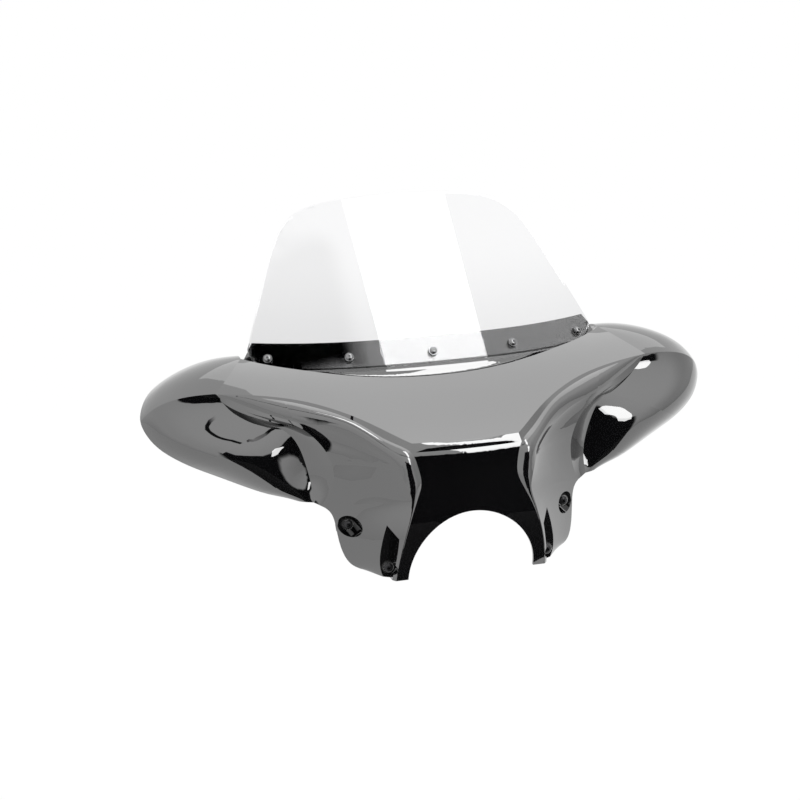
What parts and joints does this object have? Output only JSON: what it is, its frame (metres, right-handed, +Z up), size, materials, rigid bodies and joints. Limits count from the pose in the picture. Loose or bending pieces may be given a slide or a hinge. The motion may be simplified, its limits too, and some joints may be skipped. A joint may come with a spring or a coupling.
{
  "type": "motorcycle fairing",
  "caption": "Batwing fairing for a motorcycle fork: gloss moulded shell with swept wings, headlight arch and two mounting legs, and a raked clear windshield screwed to its top flange.",
  "frame": {"origin": "midway between the free ends of the two upper mounting bolts, where the bracket behind the legs takes them", "axes": "+X to the viewer's right when facing the front, the front of the fairing faces -Y, +Z up"},
  "size_m": [0.898, 0.3787, 0.4983],
  "materials": {
    "gloss_black_shell": "high-gloss black lacquer over moulded plastic",
    "clear_acrylic": "clear, polished",
    "polished_steel": "polished",
    "black_steel": "black oxide",
    "zinc_steel": "zinc plated",
    "black_rubber": "matte",
    "black_plastic": "satin"
  },
  "bodies": {
    "root": {"fairing_shell": "gloss_black_shell", "windshield": "clear_acrylic", "shield_screw_outer_left": "polished_steel", "shield_washer_outer_left": "polished_steel", "shield_spacer_outer_left": "black_rubber", "shield_nut_outer_left": "black_plastic", "shield_screw_mid_left": "polished_steel", "shield_washer_mid_left": "polished_steel", "shield_spacer_mid_left": "black_rubber", "shield_nut_mid_left": "black_plastic", "shield_screw_center": "polished_steel", "shield_washer_center": "polished_steel", "shield_spacer_center": "black_rubber", "shield_nut_center": "black_plastic", "shield_screw_mid_right": "polished_steel", "shield_washer_mid_right": "polished_steel", "shield_spacer_mid_right": "black_rubber", "shield_nut_mid_right": "black_plastic", "shield_screw_outer_right": "polished_steel", "shield_washer_outer_right": "polished_steel", "shield_spacer_outer_right": "black_rubber", "shield_nut_outer_right": "black_plastic", "mount_bolt_upper_left": "black_steel", "mount_washer_upper_left": "zinc_steel", "mount_grommet_upper_left": "black_rubber", "mount_nut_upper_left": "zinc_steel", "mount_bolt_upper_right": "black_steel", "mount_washer_upper_right": "zinc_steel", "mount_grommet_upper_right": "black_rubber", "mount_nut_upper_right": "zinc_steel", "mount_bolt_lower_left": "black_steel", "mount_washer_lower_left": "zinc_steel", "mount_grommet_lower_left": "black_rubber", "mount_nut_lower_left": "zinc_steel", "mount_bolt_lower_right": "black_steel", "mount_washer_lower_right": "zinc_steel", "mount_grommet_lower_right": "black_rubber", "mount_nut_lower_right": "zinc_steel"}
  },
  "joints": []
}
